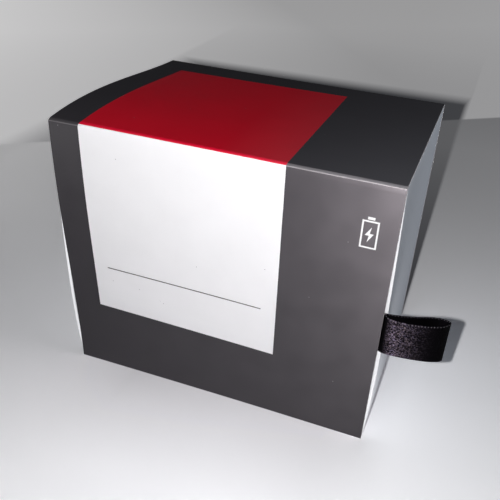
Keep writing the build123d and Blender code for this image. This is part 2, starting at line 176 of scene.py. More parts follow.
# Ribbon. A station is the X and Y of its middle line at its top edge, then at its bottom
ribbon_low = 41.7
ribbon_high = 57.3
ribbon_thickness = 0.25
picot_spacing = 1.0
picot_radius = 0.22
picot_inset = 0.2
loop_start = 17.5
ribbon_stations = [
    (59.35, -24.0, 59.35, -24.0),
    (59.4, -33.0, 59.4, -33.0),
    (59.4, -39.5, 59.4, -39.5),
    (59.5, -41.2, 59.5, -41.2),
    (60.1, -41.75, 60.1, -41.7),
    (60.7, -42.5, 60.7, -41.95),
    (61.5, -43.5, 61.6, -42.3),
    (62.7, -44.1, 63.2, -42.45),
    (64.6, -44.35, 65.2, -42.4),
    (67.2, -44.3, 67.6, -42.2),
    (70.4, -43.8, 70.6, -41.85),
    (73.6, -43.0, 73.7, -41.3),
    (76.4, -42.0, 76.6, -40.6),
    (78.8, -40.8, 78.9, -39.7),
    (80.5, -38.9, 80.6, -38.6),
    (80.95, -37.6, 81.0, -37.6),
    (80.3, -36.9, 80.4, -36.7),
    (79.0, -36.6, 78.8, -36.2),
    (77.0, -36.65, 76.6, -36.4),
    (74.0, -37.4, 73.8, -37.4),
    (70.5, -38.9, 70.3, -38.9),
    (66.5, -40.3, 66.5, -40.3),
    (63.2, -41.1, 63.2, -41.1),
    (61.3, -41.4, 61.3, -41.4),
    (60.2, -41.35, 60.2, -41.35),
    (59.8, -40.9, 59.8, -40.9),
    (59.7, -39.5, 59.7, -39.5),
    (59.65, -33.0, 59.65, -33.0),
    (59.55, -24.0, 59.55, -24.0),
]

# Charger: where its foot and its middle lie in the tray, and sizes measured from them
charger_foot = 38.5
charger_centre = 37.7
deck_top = 23.0
base_top = 24.0
button_top = 23.8
crown_rims = (31.3, 33.3, 34.764, 35.3)
insert_top = 18.2
sides = (-1, 1)
well_centre = (22.0, 1.0)
cushion_size = (9.0, 26.0)
cushion_low = 24.8
cushion_high = 26.0
cushion_edge = 0.45
cushion_insets = (0.8, 1.2)
cushion_step = 0.09
coil_radii = (3.5, 7.8)
coil_heights = (11.6, 12.8)
coil_turns = 10
coil_groove = 0.25
foot_points = [(34.0 * x, 15.0 * y) for x in sides for y in sides]
board_points = [(27.0 * x, y) for x in sides for y in (-20.0, 14.0)]
magnet_points = [(28.0 * x, -21.5) for x in sides]
button_centre = (0.0, -15.0)
button_ring = (1.7, 2.15)

# Round pieces: radius, low end, high end and how far their edges are rounded
foot_round = (4.0, -0.8, 0.8, 0.4)
base_magnet_round = (2.0, 19.0, 21.0, 0.2)
lid_magnet_round = (2.0, 27.5, 29.5, 0.2)
plunger_round = (1.5, 7.9, 9.9, 0.2)

# Screws: the head's radius, underside and top, the shank's radius and end, and the pitch
case_screw = (1.9, 2.0, 0.9, 1.0, 9.5, 0.6)
small_screw = (1.5, 6.2, 7.2, 0.8, 2.7, 0.45)


def linear(colour):
    """An sRGB hex colour as the linear colour that a shader takes."""
    parts = [int(colour[i : i + 2], 16) / 255 for i in (1, 3, 5)]
    return (*(p / 12.92 if p < 0.04045 else ((p + 0.055) / 1.055) ** 2.4 for p in parts), 1)


def add(tree, kind, inputs=(), **settings):
    """Adds a shader node, and gives its outputs. Its inputs are in the node's own order, or
    go by name or place. Each is a socket to link, a value to set or a hex colour."""
    made = tree.nodes.new("ShaderNode" + kind)
    for name, value in settings.items():
        setattr(made, name, value)
    for place, value in inputs.items() if isinstance(inputs, dict) else enumerate(inputs):
        if isinstance(value, bpy.types.NodeSocket):
            tree.links.new(value, made.inputs[place])
        else:
            made.inputs[place].default_value = linear(value) if isinstance(value, str) else value
    return made.outputs


def blank(name):
    """A material with no nodes yet, and its node tree."""
    made = bpy.data.materials.new(name)
    made.use_nodes = True
    made.node_tree.nodes.clear()
    return made, made.node_tree


def surface(made, inputs):
    """Closes a material with a shader that has these inputs, and gives it back."""
    shader = add(made.node_tree, "BsdfPrincipled", inputs)["BSDF"]
    add(made.node_tree, "OutputMaterial", {"Surface": shader})
    return made


def per(size):
    """A texture's scale for features of this size in millimetres."""
    return 1 / (size * mm)


def mask(tree, *parts):
    """One mask where all of its parts meet. A part is a mask itself, or a value with the
    two limits in millimetres that it lies between."""
    met = 1.0
    for part in parts:
        if isinstance(part, tuple):
            value, low, high = part
            above = add(tree, "Math", (value, low * mm), operation="GREATER_THAN")[0]
            below = add(tree, "Math", (value, high * mm), operation="LESS_THAN")[0]
            part = add(tree, "Math", (above, below), operation="MULTIPLY")[0]
        met = add(tree, "Math", (met, part), operation="MULTIPLY")[0]
    return met


def coats(tree, colour, *layers):
    """A colour with others laid over it in turn, each as thick as its mask says."""
    for share, over in layers:
        colour = add(tree, "Mix", {0: share, 6: colour, 7: over}, data_type="RGBA")[2]
    return colour


def laminated_print():
    """Offset print under a matt film on folding boxboard: satin glare, fibres below it.

    The fibres are 0.03 mm wide, and drawn at 0.5 mm so that they show."""
    made, tree = blank("laminated_print")
    place = add(tree, "TexCoord")["Object"]
    layout = add(tree, "UVMap", uv_map="print")["UV"]
    across, along = add(tree, "SeparateXYZ", {"Vector": layout})[:2]
    mottle = add(tree, "TexNoise", {"Vector": place, "Scale": per(9.0), "Detail": 3.0})["Fac"]
    grain = add(tree, "TexNoise", {"Vector": place, "Scale": per(0.5), "Detail": 6.0})["Fac"]
    grey = coats(tree, "#2a282c", (mottle, "#2f2d31"))
    red = coats(tree, "#b6001b", (mottle, "#c0021f"))
    white = coats(tree, "#f4f3f5", (mottle, "#f9f8fa"))
    # The print lies a little askew on the card
    below = add(tree, "Math", (along, sleeve_height * mm), operation="SUBTRACT")[0]
    below = add(tree, "Math", (below, 0.0), operation="MINIMUM")[0]
    shifted = add(tree, "Math", (below, side_askew, across), operation="MULTIPLY_ADD")[0]
    columns = mask(tree, (shifted, panel_left, panel_right))
    middle = add(tree, "Math", (across, askew_about * mm), operation="SUBTRACT")[0]
    level, level_above, at_fold = (
        add(tree, "Math", (middle, askew, along), operation="MULTIPLY_ADD")[0]
        for askew in (front_askew, top_askew, fold_askew)
    )
    red_start = sleeve_height + red_gap
    red_end = sleeve_height + red_depth
    far = 2 * sleeve_height
    front_panel = mask(tree, columns, (at_fold, 0, red_start), (level, panel_low, far))
    top_panel = mask(tree, columns, (at_fold, red_start, far), (level_above, 0, red_end))
    rule_rows = (level, rule_height - rule_thickness / 2, rule_height + rule_thickness / 2)
    rule = mask(tree, (across, rule_left, rule_right), rule_rows)
    colour = coats(tree, grey, (front_panel, white), (top_panel, red), (rule, "#3f3c40"))
    # The crushed crease behind the front fold is whitened a little, and a painted highlight
    # makes it lighter still towards the right. A map range takes a value, the two limits in
    # metres that it runs between, and its results
    creased = (along, sleeve_height - 0.1, sleeve_height + crease_width - 0.1)
    patchy = add(tree, "MapRange", (grain, 0, 1, 0.7, 1))[0]
    printed = mask(tree, (across, -1, 2 * half_length + 1))
    crease = mask(tree, creased, patchy, printed)
    share = add(tree, "MapRange", (across, 0.01, 0.115, 0.03, 0.34))[0]
    crease_whitening_and_highlight = coats(tree, colour, (share, "#d6d0d4"))
    redder = coats(tree, colour, (top_panel, "#b5021c"))
    colour = coats(tree, colour, (crease, coats(tree, crease_whitening_and_highlight, (columns, redder))))
    # The grey's ink is rubbed off the fold to white board, with a painted highlight that grows
    # towards the right, and the red along the fold gets a painted highlight, a brighter red
    grey_fold_line = mask(tree, (along, sleeve_height - 0.35, sleeve_height - 0.02))
    red_highlight_end = red_start + red_highlight_band
    red_highlight = (at_fold, red_highlight_end * mm, (red_highlight_end - red_highlight_fade) * mm, 0, 1)
    red_highlight = add(tree, "MapRange", red_highlight)[0]
    red_highlight = mask(tree, red_highlight, (at_fold, red_start, red_highlight_end))
    fold_bands = add(tree, "Mix", {0: columns, 2: grey_fold_line, 3: red_highlight})[0]
    grey_wear_and_highlight = add(tree, "MapRange", (across, 0.055, 0.115, 0.15, 0.5))[0]
    red_highlight_share = add(tree, "MapRange", (across, 0.02, 0.075, 0.75, 1))[0]
    wear_and_highlight_share = add(tree, "Mix", {0: columns, 2: grey_wear_and_highlight, 3: red_highlight_share})[0]
    fold_wear_and_highlight = mask(tree, fold_bands, printed, wear_and_highlight_share)
    fold_line_colour = coats(tree, "#dcd5d8", (columns, "#ee0a38"))
    # White board shows at the top panel's cut ends, and a painted film glare hazes its right part
    top_rows = (along, sleeve_height, red_end + 20)
    cut = add(tree, "Attribute", attribute_name="cut")["Fac"]
    cut = add(tree, "Math", (cut, 8.0), operation="POWER")[0]
    painted_glare_haze = add(tree, "MapRange", (across, 0.06, 0.12, 0, 0.17))[0]
    near = add(tree, "MapRange", (along, 0.175, 0.104, 0.5, 1))[0]
    dust = add(tree, "TexVoronoi", {"Vector": place, "Scale": per(7.0)})["Distance"]
    dust = add(tree, "Math", (dust, 0.02), operation="LESS_THAN")[0]
    colour = coats(
        tree,
        colour,
        (fold_wear_and_highlight, fold_line_colour),
        (mask(tree, cut, top_rows, grain), "#d8d6d6"),
        (mask(tree, painted_glare_haze, near, top_rows), "#9698a0"),
        (dust, "#8d8b8d"),
    )
    waves = add(tree, "TexNoise", {"Vector": place, "Scale": per(14.0), "Detail": 1.0})["Fac"]
    bump = {"Height": grain, "Distance": 0.012 * mm, "Strength": 0.6}
    fibres = add(tree, "Bump", bump)["Normal"]
    bump = {"Height": waves, "Distance": 0.05 * mm, "Strength": 0.5, "Normal": fibres}
    inputs = {
        "Base Color": colour,
        "Roughness": add(tree, "MapRange", (mottle, 0, 1, 0.36, 0.44))[0],
        "Normal": add(tree, "Bump", bump)["Normal"],
        "IOR": 1.5,
        "Specular IOR Level": 0.35,
    }
    return surface(made, inputs)


def card_core():
    """The board's uncoated white back and cut edges: dull, with loose paper fibres.

    The fibres are 0.03 mm wide, and drawn at 0.35 mm so that they show."""
    made, tree = blank("uncoated_boxboard")
    place = add(tree, "TexCoord")["Object"]
    fibres = add(tree, "TexNoise", {"Vector": place, "Scale": per(0.35), "Detail": 8.0})["Fac"]
    bump = {"Height": fibres, "Distance": 0.03 * mm, "Strength": 0.5}
    inputs = {
        "Base Color": coats(tree, "#dddcd9", (fibres, "#f0efec")),
        "Roughness": 0.9,
        "Normal": add(tree, "Bump", bump)["Normal"],
    }
    return surface(made, inputs)


def coated_card():
    """White clay-coated board: smooth and faintly satin, with slight calender mottle.

    The clay's grain is 0.02 mm wide, and drawn at 0.4 mm so that it shows."""
    made, tree = blank("coated_white_board")
    place = add(tree, "TexCoord")["Object"]
    mottle = add(tree, "TexNoise", {"Vector": place, "Scale": per(5.0), "Detail": 3.0})["Fac"]
    grain = add(tree, "TexNoise", {"Vector": place, "Scale": per(0.4), "Detail": 5.0})["Fac"]
    bump = {"Height": grain, "Distance": 0.012 * mm, "Strength": 0.5}
    inputs = {
        "Base Color": coats(tree, "#f0f1f4", (mottle, "#f7f7f9")),
        "Roughness": add(tree, "MapRange", (mottle, 0, 1, 0.5, 0.62))[0],
        "Normal": add(tree, "Bump", bump)["Normal"],
    }
    return surface(made, inputs)


def white_ink():
    """White screen-printed ink, a little raised on the film.

    The screen's mesh leaves a grain 0.1 mm wide, drawn at 0.4 mm so that it shows."""
    made, tree = blank("white_screen_ink")
    place = add(tree, "TexCoord")["Object"]
    grain = add(tree, "TexNoise", {"Vector": place, "Scale": per(0.4), "Detail": 4.0})["Fac"]
    bump = {"Height": grain, "Distance": 0.01 * mm, "Strength": 0.4}
    inputs = {
        "Base Color": coats(tree, "#f2f1f2", (grain, "#fbfafb")),
        "Roughness": 0.45,
        "Normal": add(tree, "Bump", bump)["Normal"],
    }
    return surface(made, inputs)


def satin_ribbon():
    """Black polyester satin: painted lilac glints on warp floats where the loop faces the light.

    Its threads are 0.1 mm apart, and drawn at 0.32 mm so that they show."""
    made, tree = blank("polyester_satin")
    weave = add(tree, "UVMap", uv_map="weave")["UV"]
    stretch = add(tree, "Mapping", {"Vector": weave, "Scale": (1, 0.8, 1)})["Vector"]
    threads = add(tree, "TexVoronoi", {"Vector": stretch, "Scale": per(0.32)})
    chance, tint = add(tree, "SeparateColor", {"Color": threads["Color"]})[:2]
    glint = add(tree, "Math", (chance, 3.0), operation="POWER")[0]
    # The painted glints come up where the loop turns to the light, and die away along it
    run = add(tree, "SeparateXYZ", {"Vector": weave})["Y"]
    first, full, last = ((loop_start + further) * mm for further in (2.2, 5, 19))
    rise = add(tree, "MapRange", (run, first, full, 0, 1))[0]
    fall = add(tree, "MapRange", (run, full, last, 1, 0))[0]
    fall = add(tree, "Math", (fall, 2.1), operation="POWER")[0]
    bright = coats(tree, "#9d90b0", (tint, "#a8949b"))
    bump = {"Height": threads["Distance"], "Distance": 0.08 * mm, "Strength": 0.7}
    inputs = {
        "Base Color": coats(tree, "#010101", (mask(tree, glint, rise, fall), bright)),
        "Roughness": add(tree, "MapRange", (glint, 0, 1, 0.6, 0.4))[0],
        "Normal": add(tree, "Bump", bump)["Normal"],
        "Tangent": add(tree, "Tangent", direction_type="UV_MAP", uv_map="weave")[0],
        "Anisotropic": 0.6,
        "Specular IOR Level": 0.1,
        "Specular Tint": "#d9c8e6",
    }
    return surface(made, inputs)


def ribbon_thread():
    """The grey-black twisted thread that loops out along the ribbon's woven edges.

    Its filaments are 0.02 mm thick, and drawn at 0.2 mm so that they show."""
    made, tree = blank("selvedge_thread")
    place = add(tree, "TexCoord")["Object"]
    grain = add(tree, "TexNoise", {"Vector": place, "Scale": per(0.2), "Detail": 3.0})["Fac"]
    colour = coats(tree, "#6d6670", (grain, "#a59ea8"))
    return surface(made, {"Base Color": colour, "Roughness": 0.4})


def grained(name, low, high, size, depth, rough, detail=4.0, **settings):
    """A finish of two near colours and one fine grain, sized in millimetres.

    The real grains are 0.02 to 0.1 mm wide, and drawn at 0.15 to 0.6 mm so that they show.
    A cloud 20 grains wide varies the glare between the two rough values."""
    made, tree = blank(name)
    place = add(tree, "TexCoord")["Object"]
    grain, cloud = (
        add(tree, "TexNoise", {"Vector": place, "Scale": per(width), "Detail": finer})["Fac"]
        for width, finer in ((size, detail), (20 * size, 2.0))
    )
    bump = {"Height": grain, "Distance": depth * mm, "Strength": 0.6}
    inputs = {
        "Base Color": coats(tree, low, (grain, high)),
        "Roughness": add(tree, "MapRange", (cloud, 0, 1, *rough))[0],
        "Normal": add(tree, "Bump", bump)["Normal"],
    }
    inputs.update({key.replace("_", " ").title(): value for key, value in settings.items()})
    return surface(made, inputs)


def moulded_abs():
    """White ABS from a spark-eroded mould: a fine even grain that dulls its glare."""
    return grained("moulded_white_abs", "#e9e8e5", "#f2f1ee", 0.3, 0.02, (0.38, 0.5))


def soft_touch_paint():
    """Grey soft-touch paint on polycarbonate: velvety, with a broad dull glare."""
    return grained("soft_touch_grey_paint", "#454548", "#4d4d51", 0.35, 0.012, (0.58, 0.7))


def pad_silicone():
    """Black-grey silicone sheet, faintly dusty, as it is in the wells and in the lid."""
    return grained("matt_silicone_pad", "#1d1d1f", "#2b2b2e", 0.5, 0.03, (0.7, 0.85))


def foot_rubber():
    """Black nitrile rubber, pressed and left with a dull bloom."""
    return grained("nitrile_rubber", "#101010", "#1e1e1e", 0.4, 0.03, (0.75, 0.9))


def chip_epoxy():
    """Black moulded epoxy, with the glassy filler's grain."""
    return grained("black_epoxy", "#0c0c0d", "#1b1b1c", 0.15, 0.01, (0.5, 0.65))


def plunger_nylon():
    """Tan glass-filled nylon of a tactile switch's plunger."""
    return grained("tan_nylon", "#a98d57", "#c0a268", 0.3, 0.01, (0.45, 0.55))


def nickel_plate():
    """Nickel plating on a sintered magnet: warm silver, with plating haze."""
    shade = ("#c9c5bb", "#d8d4ca")
    return grained("nickel_plate", *shade, 0.6, 0.004, (0.14, 0.28), metallic=1.0)


def zinc_plate():
    """Zinc-plated steel screws: cool silver, mottled by the passivation."""
    shade = ("#a9adb0", "#c6c9cb")
    return grained("zinc_plate", *shade, 0.5, 0.006, (0.26, 0.42), metallic=1.0)


def enamelled_copper():
    """Copper wire under clear enamel: orange metal below a glassy skin."""
    shade = ("#a8602c", "#c97f42")
    look = {"metallic": 1.0, "coat_weight": 0.6, "coat_roughness": 0.1}
    return grained("enamelled_copper_wire", *shade, 0.4, 0.006, (0.22, 0.34), **look)


def sintered_ferrite():
    """Soft ferrite: charcoal grey ceramic, pressed and fired, with a sandy grain."""
    return grained("sintered_ferrite", "#2b2827", "#413c3a", 0.2, 0.02, (0.6, 0.75))


def lamp_phosphor():
    """A white lamp's phosphor under clear resin."""
    shade = ("#e8e2bd", "#f3efd6")
    return grained("phosphor_in_resin", *shade, 0.5, 0.01, (0.2, 0.3), coat_weight=0.5)


def clear_acrylic():
    """Clear moulded acrylic with a faintly frosted skin, so that the windows glow evenly."""
    shade = ("#eef4f4", "#f7fbfb")
    return grained("frosted_acrylic", *shade, 0.4, 0.01, (0.22, 0.34), transmission_weight=0.7)


def die_cut_foam():
    """Charcoal polyurethane foam, cut with a die: open cells and no glare.

    Its cells are 0.5 mm wide, and drawn at 0.9 mm so that they show."""
    made, tree = blank("open_cell_foam")
    place = add(tree, "TexCoord")["Object"]
    cells = add(tree, "TexVoronoi", {"Vector": place, "Scale": per(0.9)})["Distance"]
    webs = add(tree, "TexNoise", {"Vector": place, "Scale": per(0.5), "Detail": 6.0})["Fac"]
    wall = add(tree, "MapRange", (cells, 0.15, 0.65, 0, 1))[0]
    edge = mask(tree, webs, wall)
    bump = {"Height": cells, "Distance": 0.3 * mm, "Strength": 0.8}
    pits = add(tree, "Bump", bump)["Normal"]
    bump = {"Height": webs, "Distance": 0.12 * mm, "Strength": 0.6, "Normal": pits}
    inputs = {
        "Base Color": coats(tree, "#1b1b1d", (wall, "#3d3d41"), (edge, "#55555a")),
        "Roughness": 0.95,
        "Normal": add(tree, "Bump", bump)["Normal"],
        "Specular IOR Level": 0.2,
    }
    return surface(made, inputs)


def button_silicone():
    """Light grey silicone of the push button, with a fine ring raised on its top.

    The mould's grain is 0.05 mm wide, and drawn at 0.35 mm so that it shows."""
    made, tree = blank("light_silicone_button")
    place = add(tree, "TexCoord")["Object"]
    grain = add(tree, "TexNoise", {"Vector": place, "Scale": per(0.35), "Detail": 4.0})["Fac"]
    x, _, z = add(tree, "SeparateXYZ", {"Vector": place})
    button_height = (charger_centre + button_centre[1]) * mm
    z = add(tree, "Math", (z, button_height), operation="SUBTRACT")[0]
    flat = add(tree, "CombineXYZ", (x, z))[0]
    radius = add(tree, "VectorMath", {0: flat}, operation="LENGTH")["Value"]
    ring = mask(tree, (radius, *button_ring))
    bump = {"Height": grain, "Distance": 0.012 * mm, "Strength": 0.5}
    fine = add(tree, "Bump", bump)["Normal"]
    bump = {"Height": ring, "Distance": 0.12 * mm, "Strength": 0.8, "Normal": fine}
    inputs = {
        "Base Color": coats(tree, "#c6c6c5", (grain, "#d2d2d1"), (ring, "#7d7d7e")),
        "Roughness": 0.55,
        "Normal": add(tree, "Bump", bump)["Normal"],
    }
    return surface(made, inputs)


def lined_metal(name, low, high, lines, rough):
    """Bare metal with fine lines across one direction, as turning or rolling leaves.

    The lines are 0.02 mm apart, and drawn at 0.2 mm so that they show."""
    made, tree = blank(name)
    place = add(tree, "TexCoord")["Object"]
    stretched = add(tree, "Mapping", {"Vector": place, "Scale": lines})["Vector"]
    grain = add(tree, "TexNoise", {"Vector": stretched, "Scale": per(0.2), "Detail": 5.0})["Fac"]
    bump = {"Height": grain, "Distance": 0.005 * mm, "Strength": 0.5}
    inputs = {
        "Base Color": coats(tree, low, (grain, high)),
        "Roughness": add(tree, "MapRange", (grain, 0, 1, rough - 0.08, rough + 0.08))[0],
        "Normal": add(tree, "Bump", bump)["Normal"],
        "Metallic": 1.0,
    }
    return surface(made, inputs)


def turned_steel():
    """Ground stainless steel of the hinge pin, with turning lines round it."""
    return lined_metal("turned_steel", "#a7a9ab", "#c3c5c6", (1, 0.05, 0.05), 0.26)


def rolled_stainless():
    """Rolled stainless sheet of the socket's can, with lines along it."""
    return lined_metal("rolled_stainless", "#b4b4b2", "#cbcbc8", (1, 0.1, 1), 0.32)


def circuit_board():
    """Green solder mask on glass-epoxy board: gloss, over copper tracks and tinned holes."""
    made, tree = blank("solder_mask_on_epoxy")
    place = add(tree, "TexCoord")["Object"]
    blocks = {"Vector": place, "Scale": per(11.0), "Randomness": 0.8}
    chance = add(tree, "TexVoronoi", blocks, distance="CHEBYCHEV")["Color"]
    chance = add(tree, "SeparateColor", {"Color": chance})[0]
    # Tracks run one way in some blocks of the board, and the other way in others
    tracks = 0.0
    for low, high, turn in ((0.12, 0.5, 0), (0.5, 0.88, 90)):
        turned = {"Vector": place, "Rotation": (radians(90), 0, radians(turn))}
        brick = {
            "Vector": add(tree, "Mapping", turned)["Vector"],
            "Scale": 1.0,
            "Mortar Size": 0.09 * mm,
            "Mortar Smooth": 0.0,
            "Brick Width": 50 * mm,
            "Row Height": 0.6 * mm,
        }
        lines = add(tree, "TexBrick", brick)["Fac"]
        routed = mask(tree, lines, (chance, low / mm, high / mm))
        tracks = add(tree, "Math", (tracks, routed), operation="ADD")[0]
    holes = add(tree, "TexVoronoi", {"Vector": place, "Scale": per(3.4)})["Distance"]
    holes = add(tree, "Math", (holes, 0.09), operation="LESS_THAN")[0]
    grain = add(tree, "TexNoise", {"Vector": place, "Scale": per(0.5), "Detail": 4.0})["Fac"]
    green = coats(tree, "#0f4a29", (grain, "#14562f"))
    bump = {"Height": tracks, "Distance": 0.04 * mm, "Strength": 0.7}
    inputs = {
        "Base Color": coats(tree, green, (tracks, "#2c7a44"), (holes, "#c9bd8f")),
        "Roughness": 0.3,
        "Normal": add(tree, "Bump", bump)["Normal"],
        "Coat Weight": 0.3,
    }
    return surface(made, inputs)


def pale_floor():
    """A plain matt table top. What the camera sees of it is deeper, a painted shade, where the
    box's soft shadows lie before it and behind it, and past the slanted line of the backdrop. It
    is lighter, a painted light, to the right, further back, and in pools to the left, at the near
    left corner and at the back."""
    made, tree = blank("matt_table_top")
    place = add(tree, "TexCoord")["Object"]
    mottle = add(tree, "TexNoise", {"Vector": place, "Scale": per(60.0), "Detail": 3.0})["Fac"]
    seen = add(tree, "LightPath")["Is Camera Ray"]
    side, depth = add(tree, "SeparateXYZ", {"Vector": place})[:2]
    turned = {"Vector": place, "Rotation": (0, 0, -backdrop_angle)}
    turned = add(tree, "Mapping", turned, vector_type="POINT")["Vector"]
    along, away = add(tree, "SeparateXYZ", {"Vector": turned})[:2]
    behind = add(tree, "Math", (side, band_slant, depth), operation="MULTIPLY_ADD")[0]
    line = backdrop_line * mm
    # A row is a value, the limits in metres that it runs between, and its two results
    rows = {
        # Painted light, brighter to the right and further back, and the painted soft shadow
        # before the box's front
        "right_half": (side, -0.05, 0.12, 0, 1),
        "further_back": (depth, 0.0, 0.08, 1, 1.12),
        "before_front": (depth, -0.043, -0.09, 0.28, 0),
        "before_back": (depth, 0.06, 0.03, 0, 1),
        "before_left": (side, -0.066, -0.035, 0, 1),
        "before_right": (side, 0.072, 0.046, 0, 1),
        # Painted light, a glow on the table to the left, at the near left corner and at the back
        "left": (side, -0.07, -0.22, 0, 0.19),
        "corner": (side, 0.0, -0.05, 0, 0.12),
        "corner_front": (depth, -0.04, -0.11, 0, 1),
        "back": (depth, 0.08, 0.28, 0, 0.06),
        "far_left": (side, -0.07, -0.18, 0, 0.06),
        "far_left_back": (depth, -0.02, 0.06, 0, 1),
        # The backdrop's brightness past its line, and the shadow band at its foot
        "backdrop": (away, line, line + backdrop_softness * mm, 0, 1),
        "backdrop_fade": (along, -0.35, 0.25, 0.67, 0.29),
        "backdrop_rise": (away, 0.25, 0.6, 0.76, 1),
        "clear_of_band": (behind, 0.39, 0.42, 0.02, 0.88),
        "clear_beyond": (depth, 0.423, 0.6, 0, 0.12),
        "clear_left": (side, -0.25, -0.2, 1, 0),
        "clear_right": (side, 0.0545, 0.06, 0, 1),
    }
    part = {name: add(tree, "MapRange", row)[0] for name, row in rows.items()}
    dim = [part["before_" + edge] for edge in ("front", "back", "left", "right")]
    undimmed = add(tree, "Math", (1.0, mask(tree, *dim)), operation="SUBTRACT")[0]
    bright = coats(tree, table_left, (part["right_half"], table_right))
    bright = {0: bright, "Scale": mask(tree, part["further_back"], undimmed)}
    bright = add(tree, "VectorMath", bright, operation="SCALE")["Vector"]
    inputs = {
        "Base Color": coats(tree, "#c0bfc5", (mottle, "#c6c5ca"), (seen, bright)),
        "Roughness": add(tree, "MapRange", (mottle, 0, 1, 0.5, 0.6))[0],
        "Specular IOR Level": 0.2,
    }
    top = add(tree, "BsdfPrincipled", inputs)["BSDF"]
    corner = mask(tree, part["corner"], part["corner_front"])
    far_left = mask(tree, part["far_left"], part["far_left_back"])
    lit = 0.0
    for share in (part["left"], corner, part["back"], far_left):
        lit = add(tree, "Math", (lit, share), operation="ADD")[0]
    clear = (part["clear_beyond"], part["clear_of_band"])
    clear = add(tree, "Math", clear, operation="ADD")[0]
    for end in (part["clear_left"], part["clear_right"]):
        clear = add(tree, "Math", (clear, end), operation="MAXIMUM")[0]
    beyond = mask(tree, part["backdrop_fade"], part["backdrop_rise"], clear)
    strength = add(tree, "Mix", {0: part["backdrop"], 2: lit, 3: beyond})[0]
    glow = {"Color": "#fbfafa", "Strength": mask(tree, strength, seen)}
    glow = add(tree, "Emission", glow)["Emission"]
    add(tree, "OutputMaterial", {"Surface": add(tree, "AddShader", (top, glow))[0]})
    return made


def block(mesh, low, high):
    """Adds a box from its low corner to its high corner."""
    low, high = Vector(low) * mm, Vector(high) * mm
    verts = bmesh.ops.create_cube(mesh, size=1)["verts"]
    bmesh.ops.scale(mesh, vec=high - low, verts=verts)
    bmesh.ops.translate(mesh, vec=(low + high) / 2, verts=verts)


def slice_up(mesh, axis, places):
    """Cuts a mesh across an axis at each of these places."""
    normal = Vector((0, 0, 0))
    normal[axis] = 1
    for place in places:
        parts = mesh.verts[:] + mesh.edges[:] + mesh.faces[:]
        cut = normal * place * mm
        bmesh.ops.bisect_plane(mesh, geom=parts, plane_co=cut, plane_no=normal)


def round_off(mesh, edges, radius, segments):
    """Rounds edges off with this many facets each."""
    bmesh.ops.bevel(
        mesh,
        geom=edges,
        offset=radius * mm,
        offset_type="OFFSET",
        segments=segments,
        profile=0.5,
        affect="EDGES",
        material=-1,
    )


def steps(low, high, spacing):
    """Places from low to high, both left out, about this far apart."""
    count = max(1, round((high - low) / spacing))
    return [low + (high - low) * i / count for i in range(1, count)]


def make_piece(name, mesh, body, finishes, replaced=(), sharp=40):
    """Makes a finished mesh a piece that rides on a body."""
    data = bpy.data.meshes.new(name)
    mesh.to_mesh(data)
    mesh.free()
    data.shade_smooth()
    data.set_sharp_from_angle(angle=radians(sharp))
    for each in finishes:
        data.materials.append(each)
    piece = bpy.data.objects.new(name, data)
    bpy.context.scene.collection.objects.link(piece)
    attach(piece, body)
    if replaced:
        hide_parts(*replaced)
    return piece


def thicken(piece, thickness, inside=0, rim=0, offset=-1):
    """Gives a piece's skin a wall, and the inside and the crisp rim their own finishes."""
    wall = piece.modifiers.new("board", "SOLIDIFY")
    wall.thickness = thickness * mm
    wall.offset = offset
    wall.use_even_offset = offset < 0
    wall.material_offset = inside
    wall.material_offset_rim = rim
    mesh = bmesh.new()
    mesh.from_mesh(piece.data)
    for edge in mesh.edges:
        if edge.is_boundary:
            edge.smooth = False
    mesh.to_mesh(piece.data)
    mesh.free()


def sprung(place):
    """Where a point of the square sleeve goes when its left end springs open.

    The bow's 4 and the crown's 6.75 bring the tallest place of each curve to 1."""
    x, y, z = place / mm
    fade = max(0.0, 1 - (x + half_length) / flexed_length) ** fade_power
    forward = (half_depth - y) / (2 * half_depth)
    up = z / sleeve_height
    out = lean * up * up * (3 - 2 * up) + front_bow * 4 * up * up * (1 - up)
    out += toe * (1 - up) ** 2
    rise = lift * forward + crown * 6.75 * forward * forward * (1 - forward)
    rise += heel * (1 - forward)
    along = (reach * min(1.0, reach_rise * up) - pull * (1 - up) ** 2) * forward
    crease = max(0.0, 1 - (y + half_depth) / crease_width) if up > 0.5 else 0.0
    lower = crease_drop * crease
    y -= fade * out * forward
    z += fade * rise * up - lower
    return Vector((x - fade * along, y, z)) * mm


def make_sleeve():
    """The printed sleeve: one folded card, sprung open at its left end."""
    mesh = bmesh.new()
    high = (half_length, half_depth, sleeve_height)
    block(mesh, (-half_length, -half_depth, 0), high)
    ends = [face for face in mesh.faces if abs(face.normal.x) > 0.5]
    bmesh.ops.delete(mesh, geom=ends, context="FACES_ONLY")
    folds = [edge for edge in mesh.edges if len(edge.link_faces) == 2]
    round_off(mesh, folds, fold_radius, 4)
    cut_ends = [-half_length + cut_band, half_length - cut_band]
    slice_up(mesh, 0, [*cut_ends, *steps(-half_length, half_length, 4)])
    crease = [crease_width - half_depth, crease_width + crease_edge - half_depth]
    inwards = [half_depth - flat_band, *steps(-half_depth + flat_band, half_depth, 5)]
    slice_up(mesh, 1, [*crease, *inwards])
    upwards = [flat_band, sleeve_height - flat_band, *steps(0, sleeve_height, 5)]
    slice_up(mesh, 2, upwards)
    mesh.normal_update()
    layout = mesh.loops.layers.uv.new("print")
    cut = mesh.verts.layers.float.new("cut")
    for face in mesh.faces:
        printed = face.normal.y < -0.05 or face.normal.z > 0.05
        for loop in face.loops:
            x, y, z = loop.vert.co
            across = x + half_length * mm if printed else -1
            loop[layout].uv = (across, z + y + half_depth * mm)
    for vert in mesh.verts:
        vert[cut] = float(vert.is_boundary)
        vert.co = sprung(vert.co)
    finishes = [laminated_print(), card_core()]
    piece = make_piece("printed_sleeve", mesh, "sleeve", finishes, ["sleeve"])
    thicken(piece, sleeve_board, inside=1, rim=1)
    return piece


